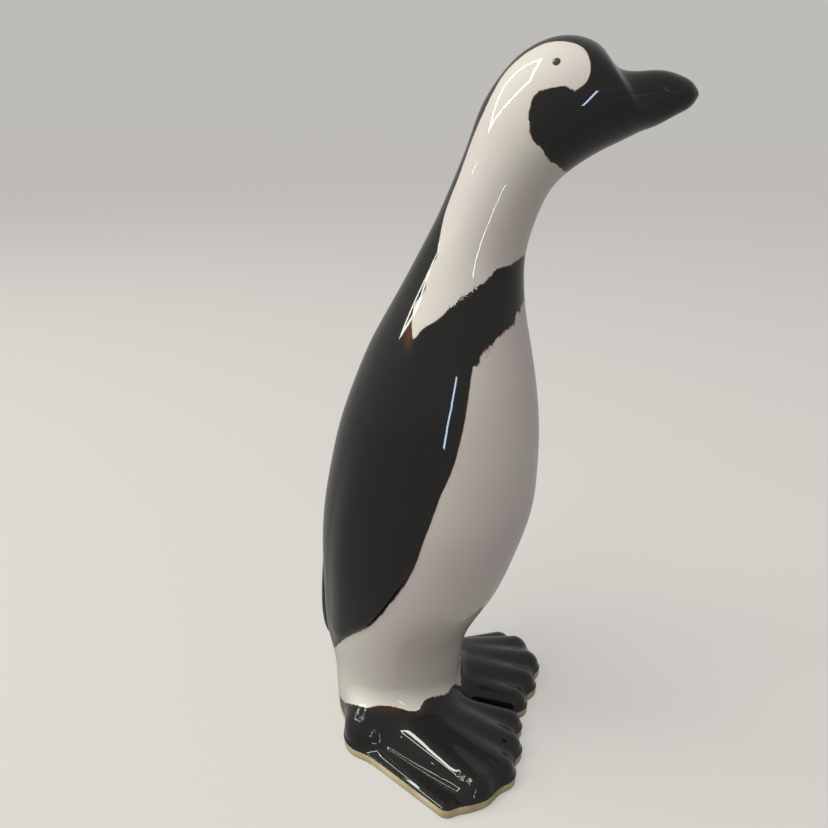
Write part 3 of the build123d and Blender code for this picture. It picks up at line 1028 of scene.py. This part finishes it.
def raise_seams(piece):
    """A thin ridge of slip along each outer toe's seam, higher and lower as the brush pushed it."""
    points, normals = mesh_points(piece.data), mesh_normals(piece.data)
    near = smooth_run(luting_seam)
    for side in (1, -1):
        away, number = nearest(points, near * [side, -1, 1])
        along = number / len(near)
        ripple = 1 + 0.5 * np.sin(along * seam_ripple)
        height = seam_height * ripple * np.sin(np.pi * along) ** 0.5
        points += normals * (height * np.exp(-(away / seam_reach) ** 2))[:, None]
    move_points(piece.data, points)


def pressed_smooth(piece, rounds):
    """Slides every point of a piece onto the blended surface, where the trunk's end isn't near."""
    points = mesh_points(piece.data)
    free = points[:, 2] < ankle_height - stub_clearance
    for turn in range(rounds):
        here = clay_distance(points)
        steps = np.eye(3) * probe
        rises = [clay_distance(points + step) - clay_distance(points - step) for step in steps]
        slope = np.stack(rises, axis=1) / (2 * probe)
        slide = slope * (here / np.maximum((slope ** 2).sum(axis=1), least_slope))[:, None]
        points -= np.where(free[:, None], np.clip(slide, -longest_slide, longest_slide), 0)
    move_points(piece.data, points)


def joined(pieces, name):
    """Several pieces as one mesh."""
    whole = bmesh.new()
    for piece in pieces:
        whole.from_mesh(piece.data)
        bpy.data.objects.remove(piece)
    return from_bmesh(name, whole)


fused = joined([*roll_pieces, trunk_stub()], "fused_feet")
remesh = fused.modifiers.new("fuse", "REMESH")
remesh.mode = "VOXEL"
remesh.voxel_size = voxel * mm
settle(fused)
pressed_smooth(fused, 3)
relax = fused.modifiers.new("relax", "SMOOTH")
relax.factor = 0.5
relax.iterations = 5
settle(fused)
pressed_smooth(fused, 2)
raise_seams(fused)
print("fused feet:", len(fused.data.vertices), "points")

# %% [markdown]
# The stub's own wall is then pushed a little under the body's skin, so that only the feet and their
# fillets show. The feet are parted along the middle and cut at the height where the glaze stops,
# and the glaze's lower edge is rounded as it draws back from the bare clay.

# %% Part the feet
glaze_roll = 0.9
# How near the skin the stub's wall counts as lying on it, and how far it sinks under it
skin_reach, skin_rise, skin_sink = 4.0, 0.3, 0.05


def sink_stub(piece):
    """Pushes what lies on the body's skin a little under it, and keeps the fillets."""
    points = mesh_points(piece.data)
    for number, point in enumerate(points):
        spot, normal, face, away = body_tree.find_nearest(Vector(point) * mm)
        rise = (Vector(point) * mm - spot).dot(normal) / mm
        if away < skin_reach * mm and rise < skin_rise:
            points[number] -= np.array(normal) * skin_sink * (1 - max(rise, 0.0) / skin_rise) ** 2
    move_points(piece.data, points)


def cut_clay(clay, point, away):
    """Cuts a bmesh at a plane, drops what lies beyond it, and returns the open edges."""
    geometry = [*clay.verts, *clay.edges, *clay.faces]
    cut = bmesh.ops.bisect_plane(clay, geom=geometry, plane_co=point, plane_no=away, clear_outer=True)
    return [item for item in cut["geom_cut"] if isinstance(item, bmesh.types.BMEdge)]


def cap(shape, edges):
    """Closes an open rim of a bmesh with flat triangles."""
    bmesh.ops.triangle_fill(shape, edges=edges, use_beauty=True, use_dissolve=False)


def foot(name, side):
    """One foot, parted along the middle, with the rounded lower edge of its glaze."""
    clay = bmesh.new()
    clay.from_mesh(fused.data)
    cap(clay, cut_clay(clay, Vector((0, 0, 0)), Vector((-side, 0, 0))))
    rim = cut_clay(clay, Vector((0, 0, (glaze_line + glaze_roll) * mm)), Vector((0, 0, -1)))
    clay.normal_update()
    inward = {v: Vector((-v.normal.x, -v.normal.y, 0)).normalized() for e in rim for v in e.verts}
    turns = np.linspace(0, math.pi / 2, 5)
    for before, after in zip(turns, turns[1:]):
        grown_rim = bmesh.ops.extrude_edge_only(clay, edges=rim)["geom"]
        fresh = [item for item in grown_rim if isinstance(item, bmesh.types.BMVert)]
        rim_before = {
            v: next(e.other_vert(v) for e in v.link_edges if e.other_vert(v) in inward) for v in fresh
        }
        for v, old in rim_before.items():
            drop = (math.sin(after) - math.sin(before)) * glaze_roll * mm
            draw_in = (math.cos(before) - math.cos(after)) * glaze_roll * mm
            v.co = old.co + inward[old] * draw_in - Vector((0, 0, drop))
        inward = {v: inward[old] for v, old in rim_before.items()}
        rim = [item for item in grown_rim if isinstance(item, bmesh.types.BMEdge)]
    cap(clay, rim)
    bmesh.ops.recalc_face_normals(clay, faces=clay.faces)
    piece = from_bmesh(name, clay, glazed_clay)
    piece.data.set_sharp_from_angle(angle=math.radians(60))
    on_foot = mesh_points(piece.data)
    ring_depth = above_ring(on_foot)
    worn_black = nearness(on_foot, thin_spots, side) * thin_wear * np.exp(-(ring_depth / thin_reach) ** 2)
    carry(piece, -ring_depth, np.tile([ring_stray, ring_stipple], (len(on_foot), 1)), worn_black)
    marks = nearness(on_foot, finger_spots, side).astype(np.float32)
    piece.data.attributes.new("pressed", "FLOAT", "POINT").data.foreach_set("value", marks)
    return piece


sink_stub(fused)
left_foot = foot("glazed_left_foot", 1)
right_foot = foot("glazed_right_foot", -1)
print("feet:", len(left_foot.data.polygons), "and", len(right_foot.data.polygons), "faces")

# %% [markdown]
# ## The sole slab
# The slab closes the casting and follows the feet, and the glaze stops almost two millimetres above
# it, so a bare band shows all round. The band's outline is the feet's own, drawn in a little, and
# its lower edge is rubbed round, as a potter does with a damp sponge. A vent lets steam out in the
# kiln.

# %% Bare slab with its vent
vent_diameter, vent_setback, vent_sides = 12.0, 16.0, 64
# How far the band is drawn in at each height, and how wide the vent's rubbed edges are
slab_profile = [(0.5, glaze_line), (0.35, 4.6), (0.3, 3.0), (0.35, 1.4), (0.6, 0.6), (1.0, 0.15), (1.5, 0.0)]
vent_rub = 0.3


def sole_loop():
    """The outline of the fused feet at the slab's top, counterclockwise, in millimetres."""
    clay = bmesh.new()
    clay.from_mesh(fused.data)
    rim = set(cut_clay(clay, Vector((0, 0, glaze_line * mm)), Vector((0, 0, -1))))
    loops = []
    while rim:
        edge = rim.pop()
        start, here = edge.verts
        loop = [start.co.copy(), here.co.copy()]
        while here is not start:
            edge = next((e for e in here.link_edges if e in rim), None)
            if edge is None:
                break
            rim.discard(edge)
            here = edge.other_vert(here)
            loop.append(here.co.copy())
        loops.append(np.array([(p.x, p.y) for p in loop[:-1]]) / mm)
    clay.free()
    loop = max(loops, key=len)
    ahead = np.roll(loop, -1, axis=0)
    turn = (loop[:, 0] * ahead[:, 1] - loop[:, 1] * ahead[:, 0]).sum()
    return loop if turn > 0 else loop[::-1]


def slab(name):
    """The slab: rings that draw in at the top and bottom, and the vent's wall, capped between them."""
    outer = sole_loop()
    for turn in range(3):
        outer = (np.roll(outer, 1, axis=0) + 2 * outer + np.roll(outer, -1, axis=0)) / 4
    ahead = np.roll(outer, -3, axis=0) - np.roll(outer, 3, axis=0)
    inward = np.stack([-ahead[:, 1], ahead[:, 0]], axis=1)
    inward /= np.linalg.norm(inward, axis=1)[:, None]
    turns = np.linspace(0, math.tau, vent_sides, endpoint=False)
    circle = np.stack([np.cos(turns), np.sin(turns)], axis=1)
    vent = circle * vent_diameter / 2 + [0, vent_setback]
    shell = bmesh.new()
    for loop, draw in ((outer, inward), (vent, -circle * vent_rub)):
        rings = []
        for draw_in, up in slab_profile:
            if loop is vent:
                draw_in = 0.0 if 0 < up < glaze_line else -1.0
            rings.append([shell.verts.new((*(p * mm), up * mm)) for p in loop + draw * draw_in])
        for upper, lower in zip(rings, rings[1:]):
            for i in range(len(loop)):
                j = (i + 1) % len(loop)
                shell.faces.new((upper[i], lower[i], lower[j], upper[j]))
    rim = [e for e in shell.edges if e.is_boundary]
    for height in (glaze_line, 0.0):
        cap(shell, [e for e in rim if abs(e.verts[0].co.z / mm - height) < 0.01])
    bmesh.ops.recalc_face_normals(shell, faces=shell.faces)
    piece = from_bmesh(name, shell, bare_clay)
    piece.data.set_sharp_from_angle(angle=math.radians(40))
    return piece


base = slab("bare_base_slab")
bpy.data.objects.remove(fused)
print("slab:", len(base.data.polygons), "faces")

# %% [markdown]
# ## Seating the pieces on the frame
# Every piece rides on the one rigid body and stands for its CAD nodes, which are hidden. The table
# also lists the record's slot for each piece's finish, which nothing here reads.

# %% Ride and replace
seats = [
    (body, "white_glaze", ("trunk", "neck_and_head", "bill")),
    (left_wing, "black_glaze", ("left_wing",)),
    (right_wing, "black_glaze", ("right_wing",)),
    (tail, "black_glaze", ("tail",)),
    (left_eye, "eye_glaze", ("left_eye",)),
    (right_eye, "eye_glaze", ("right_eye",)),
    (left_foot, "black_glaze", ("left_foot",)),
    (right_foot, "black_glaze", ("right_foot",)),
    (base, "bare_clay", ("base_slab",)),
]
for piece, slot, nodes in seats:
    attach(piece, "root")
    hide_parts(*nodes)
print(len(seats), "pieces ride on root")

# %% [markdown]
# ## A plain floor
# A pale floor takes the figurine's soft shadow. It is darker than the camera sees it, and the glaze
# mirrors it as an even shade, so the black above it shows no glare.

# %% Floor
floor_glow, floor_mirrored = 0.43, 0.37
pale_floor, floor_tree = new_material("pale_floor")
rays = add(floor_tree, "ShaderNodeLightPath").outputs
glow = calc(floor_tree, "MULTIPLY", rays["Is Camera Ray"], floor_glow)
matt_floor = add(floor_tree, "ShaderNodeBsdfPrincipled", {
    "Base Color": colour("#9A9894"), "Roughness": 0.9, "Specular IOR Level": 0.1,
    "Emission Color": colour("#F2F0EC"), "Emission Strength": glow,
})
mirrored = {"Color": colour("#F2F0EC"), "Strength": floor_mirrored}
even_floor = add(floor_tree, "ShaderNodeEmission", mirrored)
shades = {0: rays["Is Glossy Ray"], 1: matt_floor, 2: even_floor}
seen_floor = add(floor_tree, "ShaderNodeMixShader", shades)
add(floor_tree, "ShaderNodeOutputMaterial", {"Surface": seen_floor})
reach = 20.0
corners = [(x * reach, y * reach, 0) for x, y in ((-1, -1), (1, -1), (1, 1), (-1, 1))]
floor = new_piece("floor", corners, [(0, 1, 2, 3)], pale_floor)
print("the floor reaches", reach, "m each way")

# %% [markdown]
# ## Lamps and surround
# A square frame of four lamps hangs on its corner to the left and a little behind: the head and the
# near foot mirror it as a thin loop. A narrow leaning strip beside the camera only draws the blue
# streaks down the wing and the neck. A wide lamp overhead, which the glaze doesn't mirror, and an
# even pale surround fill the rest.

# %% Lamps and world
surround_strength, backdrop_strength = 0.42, 0.575
lamp_target = Vector((0, 0, 0.25))


def lamp(name, compass, rise, distance, size, power, tint, lean=0.0, shift=(0.0, 0.0)):
    """A rectangular lamp in a direction from the figurine, turned to it, leaning and shifted sideways."""
    light = bpy.data.lights.new(name, "AREA")
    light.shape = "RECTANGLE"
    light.size, light.size_y = size
    light.energy = power
    light.color = colour(tint)[:3]
    holder = bpy.data.objects.new(name, light)
    bpy.context.scene.collection.objects.link(holder)
    turn, lift = math.radians(compass), math.radians(rise)
    level = Vector((math.cos(turn), math.sin(turn), 0)) * math.cos(lift)
    offset = (level + Vector((0, 0, math.sin(lift)))) * distance
    aim = (-offset).to_track_quat("-Z", "Y") @ Quaternion((0, 0, 1), math.radians(lean))
    holder.location = lamp_target + offset + aim @ Vector((*shift, 0))
    holder.rotation_euler = aim.to_euler()
    return holder


box_place, box_side, box_edge = (104, 41, 2.3), 1.2, 0.1
for x, y in ((1, 0), (-1, 0), (0, 1), (0, -1)):
    edge_size = (box_edge, box_side + box_edge) if x else (box_side + box_edge, box_edge)
    edge_shift = (x * box_side / 2, y * box_side / 2)
    lamp("soft_box_edge", *box_place, edge_size, 7.0, "#F9FFF0", lean=45, shift=edge_shift)
strip = lamp("strip", -160.5, 1.2, 1.1, (0.035, 0.42), 0.9, "#C8E0FF", lean=-20)
strip.visible_diffuse = False
fill = lamp("overhead", 150, 50, 2.6, (2.0, 2.0), 40.0, "#FDFFF4")
fill.visible_glossy = False

world = bpy.data.worlds.new("studio")
world.use_nodes = True
world.node_tree.nodes.clear()
bpy.context.scene.world = world
rays = add(world.node_tree, "ShaderNodeLightPath").outputs
levels = {"Factor": rays["Is Camera Ray"], "A": surround_strength, "B": backdrop_strength}
strength = add(world.node_tree, "ShaderNodeMix", levels)
tint = mixed(world.node_tree, rays["Is Diffuse Ray"], colour("#F2F0EC"), colour("#F2EAEB"))
background = add(world.node_tree, "ShaderNodeBackground", {"Color": tint, "Strength": strength})
add(world.node_tree, "ShaderNodeOutputWorld", {"Surface": background})
print("lamps:", sorted(light.name for light in bpy.data.lights))

# %% [markdown]
# ## Camera
# The camera stands close, at the height of the figurine's face, and looks down 19 degrees. Its lens
# is given by the focal length in pixels of the square picture.

# %% Camera
camera_place = Vector((-0.4572, -0.1329, 0.3614))
camera_heading = Vector((0.9659, 0.2588, 0))
camera_pitch = math.radians(18.66)
focal_pixels, frame_pixels = 860.0, 828.0

lens = bpy.data.cameras.new("camera")
lens.sensor_width = 36.0
lens.lens = lens.sensor_width * focal_pixels / frame_pixels
lens.clip_start = 0.01
camera = bpy.data.objects.new("camera", lens)
bpy.context.scene.collection.objects.link(camera)
camera.location = camera_place
sight = camera_heading * math.cos(camera_pitch) - Vector((0, 0, 1)) * math.sin(camera_pitch)
camera.rotation_euler = sight.to_track_quat("-Z", "Y").to_euler()
bpy.context.scene.camera = camera
bpy.context.scene.view_settings.view_transform = "Standard"
print("camera to the figurine's axis:", round(camera_place.xy.length, 3), "m")
